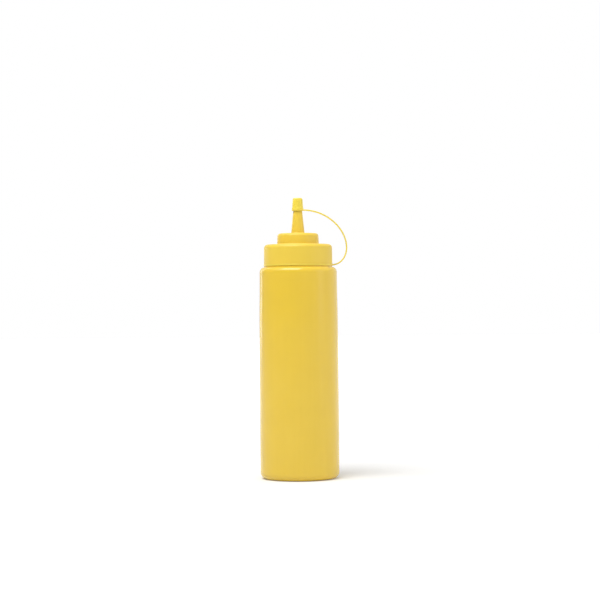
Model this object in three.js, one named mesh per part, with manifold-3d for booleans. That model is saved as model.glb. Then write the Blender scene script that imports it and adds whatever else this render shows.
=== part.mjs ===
import * as THREE from 'three';
import { mergeVertices } from 'three/addons/utils/BufferGeometryUtils.js';
import Module from 'manifold-3d';

// A soft plastic squeeze bottle for sauce, with a screwed-on nozzle lid and a tip cap
// that hangs on a strap. The strap ends in a flat ring, which lies round the neck
// between the bottle's shoulder and the lid.
// Sizes are in millimetres, +Z is up, and the origin is the centre of the base.
// The strap lies in the plane of X and Z, on the +X side.

// The gap left between two pieces that touch.
const PLAY = 0.3;

// The blown body: a straight tube, fullest low down and drawn in a little to the shoulder.
const HEEL_RADIUS = 35.8;
const HEEL_ROUND = 5.6;
const BELLY_RADIUS = 35.9;
const BELLY_HEIGHT = 50;
const CHEST_RADIUS = 35.65;
const CHEST_HEIGHT = 134;
const SHOULDER_RADIUS = 35.1;
const SHOULDER_ROUND = 4.7;
const SHOULDER_HEIGHT = 191.3;

// The neck, and the low seat at its foot that carries the strap's ring.
const SEAT_RADIUS = 31;
const SEAT_RISE = 1;
const NECK_RADIUS = 26.3;
const NECK_HEIGHT = 209;

// The strap's ring, washer-shaped and a hair wider than the lid.
const RING_RADIUS = 31.35;
const RING_THICKNESS = 1.3;

// The lid: a collar, a narrower step on it, and the nozzle.
const COLLAR_FOOT_RADIUS = 31.05;
const COLLAR_TOP_RADIUS = 30.85;
const COLLAR_ROUND = 3.3;
const COLLAR_TOP = 212.05;
const STEP_FOOT_RADIUS = 19;
const STEP_TOP_RADIUS = 18.45;
const STEP_FOOT_FILLET = 1;
const STEP_ROUND = 2.4;
const STEP_TOP = 222.05;
const NOZZLE_FOOT_RADIUS = 6.1;
const NOZZLE_FOOT_FILLET = 1.2;
const NOZZLE_TIP_RADIUS = 3.15;
const NOZZLE_TIP = 251.2;

// The tip cap, a small cup with a thicker rim.
const CAP_BOTTOM = 242.4;
const CAP_TOP = 254.2;
const CAP_TOP_RADIUS = 4.4;
const CAP_TOP_ROUND = 1.5;
const CAP_WALL_RADIUS = 4.9;
const CAP_RIM_RADIUS = 5.3;
const CAP_RIM_HEIGHT = 2;
const CAP_RIM_ROUND = 0.7;
const CAP_FLARE_HEIGHT = 1.4;

// The strap, flat and bent across its thickness, with its widest reach from the axis.
const STRAP_THICKNESS = 1.25;
const STRAP_WIDTH = 3;
const STRAP_EDGE_ROUND = 0.35;
const STRAP_REACH = 44.2;
const STRAP_REACH_HEIGHT = 209.1;
const STRAP_HEIGHT_AT_CAP = 243.2;
const STRAP_ROOT_IN_RIM = 0.7;
const STRAP_ROOT_IN_RING = 1.5;
// How far the strap keeps its direction on each side of the places that guide it.
const PULL_AT_CAP = 21.8;
const PULL_ABOVE_REACH = 16.7;
const PULL_BELOW_REACH = 7.6;
const PULL_AT_RING = 8.4;

// How finely round shapes are divided.
const BODY_SIDES = 64;
const CAP_SIDES = 40;
const STRAP_STEPS = 56;
const ARC_DIVISIONS = 3;

const QUARTER = Math.PI / 2;
const wasm = await Module();
wasm.setup();

// The heights that follow from the ones above.
const seatTop = SHOULDER_HEIGHT + SEAT_RISE;
const ringBottom = seatTop + PLAY;
const ringTop = ringBottom + RING_THICKNESS;
const collarBottom = ringTop + PLAY;
const boreRadius = NECK_RADIUS + PLAY;

// A round solid from its outline, given as radius and height from the axis back to the axis.
function turned(outline, sides) {
  const geometry = new THREE.LatheGeometry(outline.getPoints(ARC_DIVISIONS), sides);
  return geometry.rotateX(QUARTER);
}

// An outward corner that ends a rising side and begins a flat top.
function topCorner(outline, radius, height, round) {
  outline.absarc(radius - round, height - round, round, 0, QUARTER);
}

// An outward corner that ends a flat underside and begins a rising side.
function bottomCorner(outline, radius, height, round) {
  outline.absarc(radius - round, height + round, round, -QUARTER, 0);
}

// An inward corner between a flat top and the side that rises from it.
function fillet(outline, radius, height, round) {
  outline.absarc(radius + round, height + round, round, -QUARTER, -Math.PI, true);
}

function bottleGeometry() {
  const outline = new THREE.Path();
  outline.moveTo(0, 0);
  outline.lineTo(HEEL_RADIUS - HEEL_ROUND, 0);
  bottomCorner(outline, HEEL_RADIUS, 0, HEEL_ROUND);
  outline.splineThru([
    new THREE.Vector2(BELLY_RADIUS, BELLY_HEIGHT),
    new THREE.Vector2(CHEST_RADIUS, CHEST_HEIGHT),
    new THREE.Vector2(SHOULDER_RADIUS, SHOULDER_HEIGHT - SHOULDER_ROUND),
  ]);
  topCorner(outline, SHOULDER_RADIUS, SHOULDER_HEIGHT, SHOULDER_ROUND);
  outline.lineTo(SEAT_RADIUS, SHOULDER_HEIGHT);
  outline.lineTo(SEAT_RADIUS, seatTop);
  outline.lineTo(NECK_RADIUS, seatTop);
  outline.lineTo(NECK_RADIUS, NECK_HEIGHT);
  outline.lineTo(0, NECK_HEIGHT);
  return turned(outline, BODY_SIDES);
}

// The lid is hollow below, where it takes the neck, and solid from the collar's top up.
function lidGeometry() {
  const outline = new THREE.Path();
  outline.moveTo(0, NECK_HEIGHT + PLAY);
  outline.lineTo(boreRadius, NECK_HEIGHT + PLAY);
  outline.lineTo(boreRadius, collarBottom);
  outline.lineTo(COLLAR_FOOT_RADIUS, collarBottom);
  topCorner(outline, COLLAR_TOP_RADIUS, COLLAR_TOP, COLLAR_ROUND);
  fillet(outline, STEP_FOOT_RADIUS, COLLAR_TOP, STEP_FOOT_FILLET);
  topCorner(outline, STEP_TOP_RADIUS, STEP_TOP, STEP_ROUND);
  fillet(outline, NOZZLE_FOOT_RADIUS, STEP_TOP, NOZZLE_FOOT_FILLET);
  outline.lineTo(NOZZLE_TIP_RADIUS, NOZZLE_TIP);
  outline.lineTo(0, NOZZLE_TIP);
  return turned(outline, BODY_SIDES);
}

// The nozzle's radius at a height, from its taper.
function nozzleRadius(height) {
  const rise = (height - STEP_TOP) / (NOZZLE_TIP - STEP_TOP);
  return NOZZLE_FOOT_RADIUS + rise * (NOZZLE_TIP_RADIUS - NOZZLE_FOOT_RADIUS);
}

// The tip cap's bore follows the nozzle's taper, so the cap is a thin cup over its end.
function tipCapGeometry() {
  const boreTop = NOZZLE_TIP + PLAY;
  const rimTop = CAP_BOTTOM + CAP_RIM_HEIGHT;
  const outline = new THREE.Path();
  outline.moveTo(0, boreTop);
  outline.lineTo(nozzleRadius(boreTop) + PLAY, boreTop);
  outline.lineTo(nozzleRadius(CAP_BOTTOM) + PLAY, CAP_BOTTOM);
  bottomCorner(outline, CAP_RIM_RADIUS, CAP_BOTTOM, CAP_RIM_ROUND);
  outline.lineTo(CAP_RIM_RADIUS, rimTop);
  outline.lineTo(CAP_WALL_RADIUS, rimTop + CAP_FLARE_HEIGHT);
  topCorner(outline, CAP_TOP_RADIUS, CAP_TOP, CAP_TOP_ROUND);
  outline.lineTo(0, CAP_TOP);
  return turned(outline, CAP_SIDES);
}

function ringGeometry() {
  const outline = new THREE.Path();
  outline.moveTo(boreRadius, ringBottom);
  outline.lineTo(RING_RADIUS, ringBottom);
  outline.lineTo(RING_RADIUS, ringTop);
  outline.lineTo(boreRadius, ringTop);
  outline.lineTo(boreRadius, ringBottom);
  return turned(outline, BODY_SIDES);
}

// The strap's middle line: out from the tip cap's rim, over and down past its widest
// reach, and back in to the ring.
function strapRoute() {
  const ringMiddle = (ringBottom + ringTop) / 2;
  const capEnd = CAP_RIM_RADIUS - STRAP_ROOT_IN_RIM;
  const ringEnd = RING_RADIUS - STRAP_ROOT_IN_RING;
  const route = new THREE.CurvePath();
  const point = (x, z) => new THREE.Vector3(x, 0, z);
  route.add(new THREE.CubicBezierCurve3(
    point(capEnd, STRAP_HEIGHT_AT_CAP),
    point(capEnd + PULL_AT_CAP, STRAP_HEIGHT_AT_CAP),
    point(STRAP_REACH, STRAP_REACH_HEIGHT + PULL_ABOVE_REACH),
    point(STRAP_REACH, STRAP_REACH_HEIGHT),
  ));
  route.add(new THREE.CubicBezierCurve3(
    point(STRAP_REACH, STRAP_REACH_HEIGHT),
    point(STRAP_REACH, STRAP_REACH_HEIGHT - PULL_BELOW_REACH),
    point(ringEnd + STRAP_ROOT_IN_RING + PULL_AT_RING, ringMiddle),
    point(ringEnd, ringMiddle),
  ));
  return route;
}

// The strap's section, its width along x and its thickness along y, with eased edges.
// Swept along the route, the section's x is the model's Y.
function strapSection() {
  const x = STRAP_WIDTH / 2;
  const y = STRAP_THICKNESS / 2;
  const ease = STRAP_EDGE_ROUND;
  const section = new THREE.Shape();
  section.moveTo(-x + ease, -y);
  section.lineTo(x - ease, -y);
  section.lineTo(x, -y + ease);
  section.lineTo(x, y - ease);
  section.lineTo(x - ease, y);
  section.lineTo(-x + ease, y);
  section.lineTo(-x, y - ease);
  section.lineTo(-x, -y + ease);
  section.closePath();
  return section;
}

function strapGeometry() {
  return new THREE.ExtrudeGeometry(strapSection(), {
    steps: STRAP_STEPS,
    extrudePath: strapRoute(),
  });
}

// A closed mesh as a solid that can be joined, without the triangles of no area at its poles.
function asSolid(geometry) {
  geometry.deleteAttribute('normal');
  geometry.deleteAttribute('uv');
  const merged = mergeVertices(geometry);
  const index = Array.from(merged.index.array);
  const corners = [];
  for (let i = 0; i < index.length; i += 3) {
    const [a, b, c] = index.slice(i, i + 3);
    if (a !== b && b !== c && c !== a) {
      corners.push(a, b, c);
    }
  }
  return new wasm.Manifold(new wasm.Mesh({
    numProp: 3,
    vertProperties: new Float32Array(merged.attributes.position.array),
    triVerts: new Uint32Array(corners),
  }));
}

function asGeometry(solid) {
  const mesh = solid.getMesh();
  const geometry = new THREE.BufferGeometry();
  geometry.setAttribute('position', new THREE.BufferAttribute(mesh.vertProperties, 3));
  geometry.setIndex(new THREE.BufferAttribute(mesh.triVerts, 1));
  geometry.computeVertexNormals();
  return geometry;
}

// Tip cap, strap and ring come out of one mould, so they are one solid.
function strappedCapGeometry() {
  const joined = asSolid(tipCapGeometry())
    .add(asSolid(strapGeometry()))
    .add(asSolid(ringGeometry()));
  return asGeometry(joined);
}

// Squeezable blown plastic, satin.
function bodyPlastic() {
  return new THREE.MeshStandardMaterial({ color: 0xebc64b, roughness: 0.42, metalness: 0 });
}

// The moulded lid is the same yellow, a little firmer and smoother.
function lidPlastic() {
  return new THREE.MeshStandardMaterial({ color: 0xf0d052, roughness: 0.36, metalness: 0 });
}

function capPlastic() {
  return new THREE.MeshStandardMaterial({ color: 0xf6d852, roughness: 0.38, metalness: 0 });
}

function piece(name, geometry, material) {
  const mesh = new THREE.Mesh(geometry, material);
  mesh.name = name;
  return mesh;
}

const bottle = new THREE.Group();
bottle.add(piece('bottle', bottleGeometry(), bodyPlastic()));
bottle.add(piece('nozzle_lid', lidGeometry(), lidPlastic()));
bottle.add(piece('strapped_cap', strappedCapGeometry(), capPlastic()));

export default bottle;
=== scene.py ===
import bmesh
import bpy
import math
from mathutils import Matrix, Vector, geometry, noise


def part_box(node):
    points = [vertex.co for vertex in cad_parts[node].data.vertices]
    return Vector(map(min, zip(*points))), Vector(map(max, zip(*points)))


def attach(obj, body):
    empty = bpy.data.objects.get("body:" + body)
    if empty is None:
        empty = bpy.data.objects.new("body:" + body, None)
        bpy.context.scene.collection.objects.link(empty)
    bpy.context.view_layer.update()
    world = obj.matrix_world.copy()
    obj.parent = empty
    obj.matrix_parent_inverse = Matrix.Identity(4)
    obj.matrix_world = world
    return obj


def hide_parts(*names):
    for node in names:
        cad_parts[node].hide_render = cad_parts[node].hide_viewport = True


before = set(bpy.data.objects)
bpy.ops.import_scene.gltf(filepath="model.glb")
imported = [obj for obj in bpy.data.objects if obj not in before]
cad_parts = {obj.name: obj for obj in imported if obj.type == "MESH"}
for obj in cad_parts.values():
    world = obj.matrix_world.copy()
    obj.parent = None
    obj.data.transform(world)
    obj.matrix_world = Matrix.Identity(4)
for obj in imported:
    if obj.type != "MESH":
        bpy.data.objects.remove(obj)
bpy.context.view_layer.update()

# The bottle: one blown piece of soft yellow polyethylene, straight-sided and drawn in a
# little towards the shoulder. Its split mould leaves a faint seam up both sides and across
# the base, and the base is hollowed, so that the bottle stands on its heel.
mm = 0.001
neck_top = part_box("bottle")[1].z
ring_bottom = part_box("strapped_cap")[0].z
play = 0.3 * mm
contact_gap = 0.05 * mm
heel_radius = 35.8 * mm
heel_round = 5.6 * mm
heel_top = 7 * mm
belly_radius = 35.83 * mm
belly_height = 50 * mm
chest_radius = 35.65 * mm
chest_height = 134 * mm
shoulder_radius = 35.1 * mm
shoulder_round = 4.7 * mm
straight_under_shoulder = 1 * mm
seat_radius = 31 * mm
seat_rise = 1 * mm
seat_foot_round = 0.3 * mm
seat_edge_round = 0.1 * mm
neck_radius = 26.3 * mm
neck_foot_round = 0.3 * mm
neck_edge_round = 0.8 * mm
seat_top = ring_bottom - contact_gap
shoulder_height = ring_bottom - play - seat_rise
wall_top = shoulder_height - shoulder_round - straight_under_shoulder
wall_row = 5 * mm
base_recess = 1.1 * mm
base_recess_radius = 22 * mm
base_rim_radius = 26 * mm
base_bend = 1 * mm
wall_unevenness = 0.05 * mm
wall_wave = 45 * mm
large_round_sides = 160
corner_steps = 8
weld_distance = 0.002 * mm
sharp_angle = math.radians(35)


def wall_rows():
    """Rows up the wall from the heel to the shoulder, eased between its four stations."""
    stations = [
        (heel_radius, heel_top),
        (belly_radius, belly_height),
        (chest_radius, chest_height),
        (shoulder_radius, wall_top),
    ]
    rows = []
    for (low_radius, low), (high_radius, high) in zip(stations, stations[1:]):
        count = round((high - low) / wall_row)
        for step in range(count):
            ease = (1 - math.cos(math.pi * step / count)) / 2
            radius = low_radius + ease * (high_radius - low_radius)
            rows.append((radius, low + (high - low) * step / count, 0))
    return rows + [(shoulder_radius, wall_top, 0)]


def turned(corners, sides, ring=False):
    """An outline of corners, each a radius, a height and a rounding, turned about the axis."""
    shape = bmesh.new()
    dots = [shape.verts.new((radius, 0, height)) for radius, height, _ in corners]
    follow = dots[1:] + dots[:1] if ring else dots[1:]
    for start, end in zip(dots, follow):
        shape.edges.new((start, end))
    for dot, (_, _, rounding) in zip(dots, corners):
        if rounding:
            bmesh.ops.bevel(
                shape, geom=[dot], offset=rounding, segments=corner_steps,
                profile=0.5, affect="VERTICES", material=-1,
            )
    bmesh.ops.spin(
        shape, geom=shape.verts[:] + shape.edges[:], cent=(0, 0, 0), axis=(0, 0, 1),
        dvec=(0, 0, 0), angle=2 * math.pi, steps=sides, use_merge=True,
    )
    bmesh.ops.remove_doubles(shape, verts=shape.verts, dist=weld_distance)
    bmesh.ops.recalc_face_normals(shape, faces=shape.faces)
    return shape


def as_object(name, shape):
    mesh = bpy.data.meshes.new(name)
    for face in shape.faces:
        face.smooth = True
    shape.to_mesh(mesh)
    shape.free()
    mesh.set_sharp_from_angle(angle=sharp_angle)
    made = bpy.data.objects.new(name, mesh)
    bpy.context.scene.collection.objects.link(made)
    return made


def even_shading(piece):
    """Shades by the size of the faces, so that flats stay flat beside their roundings."""
    shading = piece.modifiers.new("even_shading", "WEIGHTED_NORMAL")
    shading.keep_sharp = True


bottle_shape = turned(
    [
        (0, base_recess, 0),
        (base_recess_radius, base_recess, base_bend),
        (base_rim_radius, 0, base_bend),
        (heel_radius, 0, heel_round),
        *wall_rows(),
        (shoulder_radius, shoulder_height, shoulder_round),
        (seat_radius, shoulder_height, seat_foot_round),
        (seat_radius, seat_top, seat_edge_round),
        (neck_radius, seat_top, neck_foot_round),
        (neck_radius, neck_top, neck_edge_round),
        (0, neck_top, 0),
    ],
    sides=large_round_sides,
)
for dot in bottle_shape.verts:
    if heel_top < dot.co.z < wall_top:
        swell = wall_unevenness * noise.noise(dot.co / wall_wave)
        dot.co += Vector((dot.co.x, dot.co.y, 0)).normalized() * swell
bottle = as_object("bottle_body", bottle_shape)
even_shading(bottle)


class Feed:
    """A value or colour inside a material, which can be added, multiplied and compared."""

    def __init__(self, tree, socket=None):
        self.tree = tree
        self.socket = socket

    def node(self, kind, settings=None, inputs=None, output=0):
        """A new node of this kind, with its settings made first and then its inputs fed."""
        made = self.tree.nodes.new("ShaderNode" + kind)
        for name, setting in (settings or {}).items():
            setattr(made, name, setting)
        for name, value in (inputs or {}).items():
            if isinstance(value, Feed):
                self.tree.links.new(value.socket, made.inputs[name])
            else:
                made.inputs[name].default_value = value
        return Feed(self.tree, made.outputs[output] if len(made.outputs) else None)

    def maths(self, operation, first, second=0.0):
        return self.node("Math", {"operation": operation}, {0: first, 1: second})

    def __add__(self, other):
        return self.maths("ADD", self, other)

    def __radd__(self, other):
        return self.maths("ADD", other, self)

    def __sub__(self, other):
        return self.maths("SUBTRACT", self, other)

    def __rsub__(self, other):
        return self.maths("SUBTRACT", other, self)

    def __mul__(self, other):
        return self.maths("MULTIPLY", self, other)

    def __rmul__(self, other):
        return self.maths("MULTIPLY", other, self)

    def __abs__(self):
        return self.maths("ABSOLUTE", self)

    def rise(self, low, high):
        """0 below low, 1 above high, and smooth between."""
        return self.node(
            "MapRange",
            {"interpolation_type": "SMOOTHSTEP"},
            {"Value": self, "From Min": low, "From Max": high},
        )

    def mix(self, first, second):
        """The first colour where this is 0, the second where it is 1."""
        return self.node("Mix", {"data_type": "RGBA"}, {0: self, 6: first, 7: second}, output=2)


def new_material(name):
    material = bpy.data.materials.new(name)
    material.use_nodes = True
    tree = material.node_tree
    tree.nodes.clear()
    return material, Feed(tree)


def place_on_piece(kit, scale=(1, 1, 1)):
    """The place on the piece, scaled on each axis. A small scale draws a pattern out."""
    place = kit.node("TexCoord", output="Object")
    return kit.node("VectorMath", {"operation": "MULTIPLY"}, {0: place, 1: scale})


def cloud(kit, place, size):
    """Soft noise around 0, between about -0.5 and 0.5, with lumps of this size."""
    lumps = kit.node("TexNoise", {}, {"Vector": place, "Scale": 1 / size, "Detail": 2.0, "Roughness": 0.5})
    return lumps - 0.5


def seam_line(kit, place, width):
    """1 on the plane between the two halves of the mould, fading to 0 at this width."""
    across = kit.node("SeparateXYZ", {}, {0: place}, output="Y")
    return 1 - abs(across).rise(0, width)


mottle_size = 30 * mm
streak_width = 3 * mm
streak_scale = (1, 1, 0.04)
grain_size = 0.5 * mm
mottle_in_colour = 0.9
streaks_in_colour = 0.5
seam_in_colour = 0.35
mottle_in_finish = 0.12
streaks_in_finish = 0.06
seam_in_finish = 0.08
grain_in_relief = 0.3
mottle_in_relief = 1.2
streaks_in_relief = 0.25
seam_in_relief = 1.5
relief_depth = 0.04 * mm
relief_strength = 0.6
light_reach = 1.5 * mm
light_reach_by_colour = (1.0, 0.7, 0.15)


def satin_plastic(name, colour, deeper, roughness, patchiness, seam_width=None):
    """Soft satin plastic with faint clouds, drawn streaks and grain, and a seam if it has one."""
    material, kit = new_material(name)
    place = place_on_piece(kit)
    drawn = place_on_piece(kit, streak_scale)
    mottle = patchiness * cloud(kit, place, mottle_size)
    streaks = patchiness * cloud(kit, drawn, streak_width)
    grain = cloud(kit, place, grain_size)
    depth = (0.5 + mottle_in_colour * mottle + streaks_in_colour * streaks).rise(0.1, 0.9)
    finish = roughness + mottle_in_finish * mottle + streaks_in_finish * streaks
    relief = grain_in_relief * grain + mottle_in_relief * mottle + streaks_in_relief * streaks
    tint = depth.mix(colour, deeper)
    if seam_width:
        seam = seam_line(kit, place, seam_width)
        relief = relief + seam_in_relief * seam
        finish = finish - seam_in_finish * seam
        tint = (seam_in_colour * seam).mix(tint, deeper)
    bump = kit.node(
        "Bump", {}, {"Height": relief, "Distance": relief_depth, "Strength": relief_strength}
    )
    shader = kit.node(
        "BsdfPrincipled",
        {"subsurface_method": "BURLEY"},
        {
            "Base Color": tint,
            "Roughness": finish,
            "Normal": bump,
            "IOR": 1.5,
            "Subsurface Weight": 0.12,
            "Subsurface Radius": light_reach_by_colour,
            "Subsurface Scale": light_reach,
        },
    )
    kit.node("OutputMaterial", {}, {"Surface": shader})
    return material


blown_yellow = (0.785, 0.543, 0.052, 1)
blown_yellow_deeper = (0.76, 0.52, 0.048, 1)
blown_plastic = satin_plastic(
    "blown_plastic",
    blown_yellow,
    blown_yellow_deeper,
    roughness=0.21,
    patchiness=1.0,
    seam_width=0.4 * mm,
)
bottle.data.materials.append(blown_plastic)
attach(bottle, "root")
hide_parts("bottle")

# The tip cap with its strap and ring: one thin moulding of the same plastic, made flat.
# The ring goes over the neck first and lies loose under the lid, and the strap bends up
# and over, so that the little cap reaches the nozzle's end.
ring_radius = 31.35 * mm
ring_thickness = 1.3 * mm
ring_top = ring_bottom + ring_thickness
ring_foot_round = 0.15 * mm
ring_edge_round = 0.3 * mm
ring_bore_round = 0.2 * mm
bore_radius = neck_radius + play
cap_bottom = 242.4 * mm
cap_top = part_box("strapped_cap")[1].z
cap_rim_radius = 5.3 * mm
cap_rim_height = 2 * mm
cap_rim_round = 0.7 * mm
cap_flare = 1.4 * mm
cap_flare_round = 0.6 * mm
cap_wall_radius = 4.9 * mm
cap_top_radius = 4.4 * mm
cap_top_round = 1.5 * mm
cap_bore_mouth = 4.35 * mm
cap_mouth_round = 0.2 * mm
cap_bore_end = 3.5 * mm
cap_bore_top = 251.5 * mm
cap_bore_round = 0.3 * mm
gate_radius = 0.9 * mm
gate_depth = 0.2 * mm
gate_round = 0.1 * mm
small_round_sides = 96
strap_width = 3 * mm
strap_thickness = 1.25 * mm
strap_edge = 0.3 * mm
strap_edge_steps = 4
strap_reach = 44.1 * mm
strap_reach_height = 209.1 * mm
strap_height_at_cap = 243.2 * mm
root_in_rim = 0.7 * mm
root_in_ring = 1.5 * mm
strap_start = cap_rim_radius - root_in_rim
strap_end = ring_radius - root_in_ring
pull_at_cap = 21.8 * mm
pull_above_reach = 16.7 * mm
pull_below_reach = 7.6 * mm
pull_at_ring = 9.9 * mm
strap_steps = 40

tip_cap_shape = turned(
    [
        (0, cap_bore_top, 0),
        (cap_bore_end, cap_bore_top, cap_bore_round),
        (cap_bore_mouth, cap_bottom, cap_mouth_round),
        (cap_rim_radius, cap_bottom, cap_rim_round),
        (cap_rim_radius, cap_bottom + cap_rim_height, cap_flare_round),
        (cap_wall_radius, cap_bottom + cap_rim_height + cap_flare, cap_flare_round),
        (cap_top_radius, cap_top, cap_top_round),
        (gate_radius, cap_top, gate_round),
        (gate_radius, cap_top - gate_depth, gate_round),
        (0, cap_top - gate_depth, 0),
    ],
    sides=small_round_sides,
)
ring_shape = turned(
    [
        (bore_radius, ring_bottom, ring_bore_round),
        (ring_radius, ring_bottom, ring_foot_round),
        (ring_radius, ring_top, ring_edge_round),
        (bore_radius, ring_top, ring_bore_round),
    ],
    sides=large_round_sides,
    ring=True,
)


def strap_points():
    """The strap's middle line, out of the cap's rim, over its widest point and into the ring."""
    middle = (ring_bottom + ring_top) / 2
    widest = Vector((strap_reach, 0, strap_reach_height))
    upper = geometry.interpolate_bezier(
        Vector((strap_start, 0, strap_height_at_cap)),
        Vector((strap_start + pull_at_cap, 0, strap_height_at_cap)),
        widest + Vector((0, 0, pull_above_reach)),
        widest,
        strap_steps,
    )
    lower = geometry.interpolate_bezier(
        widest,
        widest - Vector((0, 0, pull_below_reach)),
        Vector((strap_end + pull_at_ring, 0, middle)),
        Vector((strap_end, 0, middle)),
        strap_steps,
    )
    return upper + lower[1:]


def swept_strap(points):
    """A flat bar with rounded corners, extruded from point to point and turned as it goes."""
    shape = bmesh.new()
    bmesh.ops.create_grid(shape, x_segments=1, y_segments=1, size=0.5)
    bmesh.ops.scale(shape, vec=(strap_thickness, strap_width, 1), verts=shape.verts)
    bmesh.ops.bevel(
        shape, geom=shape.verts[:], offset=strap_edge, segments=strap_edge_steps,
        profile=0.5, affect="VERTICES", material=-1,
    )
    upright = Matrix.Rotation(math.pi / 2, 3, "Y")
    bmesh.ops.rotate(shape, cent=(0, 0, 0), matrix=upright, verts=shape.verts)
    bmesh.ops.translate(shape, vec=points[0], verts=shape.verts)
    front = shape.faces[:]
    heading = 0.0
    for index in range(1, len(points)):
        before = points[index - 1]
        after = points[min(index + 1, len(points) - 1)]
        way = after - before
        turn = math.atan2(-way.z, way.x)
        rim = list({edge for face in front for edge in face.edges})
        grown = bmesh.ops.extrude_face_region(shape, geom=front + rim)
        front = [part for part in grown["geom"] if isinstance(part, bmesh.types.BMFace)]
        corners = list({dot for face in front for dot in face.verts})
        bmesh.ops.translate(shape, vec=points[index] - before, verts=corners)
        bend = Matrix.Rotation(turn - heading, 3, "Y")
        bmesh.ops.rotate(shape, cent=points[index], matrix=bend, verts=corners)
        heading = turn
    bmesh.ops.recalc_face_normals(shape, faces=shape.faces)
    return shape


def joined(name, first, *others):
    """One closed piece out of several parts that overlap."""
    for index, other in enumerate(others):
        join = first.modifiers.new("join_" + str(index), "BOOLEAN")
        join.operation = "UNION"
        join.solver = "MANIFOLD"
        join.object = other
    whole = first.evaluated_get(bpy.context.evaluated_depsgraph_get())
    shape = bmesh.new()
    shape.from_mesh(whole.to_mesh())
    for part in (first, *others):
        bpy.data.objects.remove(part)
    bmesh.ops.remove_doubles(shape, verts=shape.verts, dist=weld_distance)
    return as_object(name, shape)


strapped_cap = joined(
    "strapped_tip_cap",
    as_object("tip_cap_part", tip_cap_shape),
    as_object("strap_part", swept_strap(strap_points())),
    as_object("ring_part", ring_shape),
)
even_shading(strapped_cap)
cap_yellow = (0.818, 0.645, 0.068, 1)
cap_yellow_deeper = (0.794, 0.622, 0.065, 1)
thin_moulding = satin_plastic(
    "thin_moulding", cap_yellow, cap_yellow_deeper, roughness=0.4, patchiness=0.4
)
strapped_cap.data.materials.append(thin_moulding)
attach(strapped_cap, "root")
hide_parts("strapped_cap")

# The lid: injection moulded in a slightly firmer polyethylene, and screwed down over the
# neck. A smooth collar takes the grip, a narrower step stands on it, and the tapered
# nozzle rises from the step through a small fillet.
lid_foot = ring_top + contact_gap
socket_top = neck_top + play
socket_top_round = 0.8 * mm
socket_mouth_round = 0.3 * mm
collar_foot_radius = 31.05 * mm
collar_foot_round = 0.08 * mm
collar_top_radius = 30.85 * mm
collar_top = 212.05 * mm
collar_round = 3.3 * mm
step_foot_radius = 19 * mm
step_foot_fillet = 1 * mm
step_top_radius = 18.45 * mm
step_top = 222.05 * mm
step_round = 2.4 * mm
nozzle_foot_radius = 6.1 * mm
nozzle_foot_fillet = 1.2 * mm
nozzle_tip_radius = 3.15 * mm
nozzle_tip_round = 0.5 * mm
nozzle_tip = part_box("nozzle_lid")[1].z

lid_shape = turned(
    [
        (0, socket_top, 0),
        (bore_radius, socket_top, socket_top_round),
        (bore_radius, lid_foot, socket_mouth_round),
        (collar_foot_radius, lid_foot, collar_foot_round),
        (collar_top_radius, collar_top, collar_round),
        (step_foot_radius, collar_top, step_foot_fillet),
        (step_top_radius, step_top, step_round),
        (nozzle_foot_radius, step_top, nozzle_foot_fillet),
        (nozzle_tip_radius, nozzle_tip, nozzle_tip_round),
        (0, nozzle_tip, 0),
    ],
    sides=large_round_sides,
)
lid = as_object("nozzle_lid_body", lid_shape)
even_shading(lid)
lid_yellow = (0.8, 0.573, 0.059, 1)
lid_yellow_deeper = (0.775, 0.55, 0.055, 1)
moulded_plastic = satin_plastic(
    "moulded_plastic", lid_yellow, lid_yellow_deeper, roughness=0.45, patchiness=0.4
)
lid.data.materials.append(moulded_plastic)
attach(lid, "root")
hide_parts("nozzle_lid")

# The table: a plain white sheet, wide enough to fill every view. It glows faintly by the
# bottle and more further off, so that it stays as white as the tent behind it.
floor_half_width = 6
floor_white = (0.78, 0.78, 0.78, 1)
floor_glow = 0.09
far_floor_glow = 0.35
far_glow_start = 0.4
far_glow_end = 1.2
floor_shape = bmesh.new()
bmesh.ops.create_grid(floor_shape, x_segments=8, y_segments=8, size=floor_half_width)
bmesh.ops.translate(floor_shape, vec=(0, 0, -contact_gap), verts=floor_shape.verts)
floor = as_object("floor", floor_shape)
floor_material, floor_kit = new_material("white_table")
floor_place = floor_kit.node("TexCoord", output="Object")
from_bottle = floor_kit.node("VectorMath", {"operation": "LENGTH"}, {0: floor_place}, output="Value")
sheet_glow = floor_glow + far_floor_glow * from_bottle.rise(far_glow_start, far_glow_end)
floor_shader = floor_kit.node(
    "BsdfPrincipled",
    {},
    {
        "Base Color": floor_white,
        "Roughness": 0.7,
        "Specular IOR Level": 0.2,
        "Emission Color": sheet_glow,
        "Emission Strength": 1.0,
    },
)
floor_kit.node("OutputMaterial", {}, {"Surface": floor_shader})
floor.data.materials.append(floor_material)

# The light: a white tent, brighter behind and on the right, and a key high in front with a
# large soft light on its left and a low one on its right. A box overhead lays the pale band
# on the shoulder, and a strip behind draws a line down the bottle's left edge.
tent_middle = 0.47
tent_slope = 0.54
tent_bright_way = (0.707, 0.707, 0)
tent_white = (1, 1, 1, 1)
world = bpy.data.worlds.new("white_tent")
bpy.context.scene.world = world
world.use_nodes = True
world.node_tree.nodes.clear()
tent = Feed(world.node_tree)
way = tent.node("TexCoord", output="Generated")
to_bright_side = tent.node(
    "VectorMath", {"operation": "DOT_PRODUCT"}, {0: way, 1: tent_bright_way}, output="Value"
)
tent_glow = tent_middle + tent_slope * to_bright_side
seen_by_camera = tent.node("LightPath", output="Is Camera Ray")
tent_strength = tent_glow + seen_by_camera * (1 - tent_glow)
tent_wall = tent.node("Background", {}, {"Color": tent_white, "Strength": tent_strength})
tent.node("OutputWorld", {}, {"Surface": tent_wall})


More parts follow.
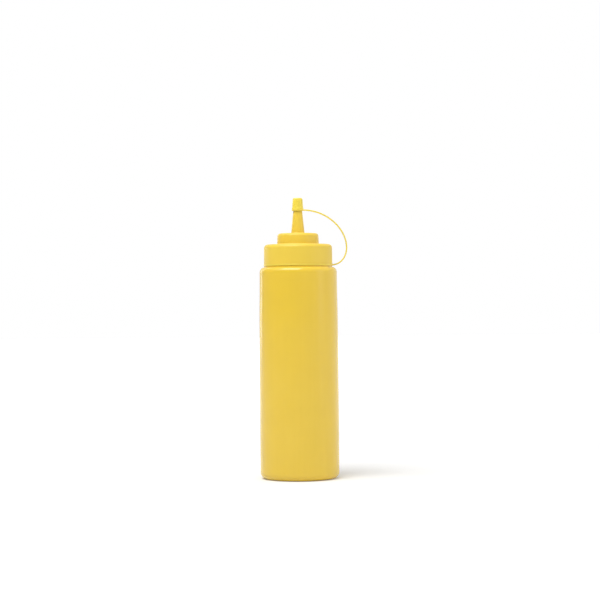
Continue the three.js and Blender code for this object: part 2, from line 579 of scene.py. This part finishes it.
def hung(name, light, place, turn):
    """A lamp in its place, which lights the bottle but isn't seen by the camera."""
    lamp = bpy.data.objects.new(name, light)
    lamp.location = place
    lamp.rotation_euler = turn
    lamp.visible_camera = False
    bpy.context.scene.collection.objects.link(lamp)


def far_light(name, azimuth, elevation, spread, strength):
    """Parallel light as from a distant soft lamp. Azimuth 0 is the camera's side, 90 the right."""
    light = bpy.data.lights.new(name, "SUN")
    light.angle = math.radians(spread)
    light.energy = strength
    hung(name, light, (0, 0, 1), (math.radians(90 - elevation), 0, math.radians(azimuth)))


def soft_box(name, place, aim, width, height, watts):
    """A flat rectangular lamp that faces its aim."""
    light = bpy.data.lights.new(name, "AREA")
    light.shape = "RECTANGLE"
    light.size = width
    light.size_y = height
    light.energy = watts
    towards = Vector(aim) - Vector(place)
    hung(name, light, place, towards.to_track_quat("-Z", "Y").to_euler())


far_light("key_light", azimuth=-16, elevation=63, spread=34, strength=1.28)
far_light("left_light", azimuth=-66, elevation=46, spread=50, strength=0.38)
far_light("right_light", azimuth=70, elevation=14, spread=28, strength=0.22)
overhead_place = (-0.38, -0.36, 1.12)
shoulder_middle = (0, 0, shoulder_height)
soft_box("overhead_box", overhead_place, shoulder_middle, width=0.75, height=0.55, watts=7)
strip_place = (-0.6, 0.8, 0.645)
strip_aim = (0, 0, 0.645)
soft_box("edge_strip", strip_place, strip_aim, width=0.08, height=1.11, watts=1.05)

# The camera: level with the bottle's upper half, 1.6 m away and a hair out of square. Its
# picture takes in this width at the bottle's axis, and keeps colours as they are lit.
camera_distance = 1.6
camera_side = 1.36 * mm
eye_height = 161.6 * mm
camera_roll = math.radians(-0.53)
picture_width = 544.8 * mm
camera_data = bpy.data.cameras.new("camera")
camera_data.sensor_width = 36
camera_data.lens = camera_data.sensor_width * camera_distance / picture_width
camera = bpy.data.objects.new("camera", camera_data)
bpy.context.scene.collection.objects.link(camera)
camera.matrix_world = (
    Matrix.Translation((camera_side, -camera_distance, eye_height))
    @ Matrix.Rotation(math.radians(90), 4, "X")
    @ Matrix.Rotation(camera_roll, 4, "Z")
)
bpy.context.scene.camera = camera
bpy.context.scene.view_settings.view_transform = "Standard"
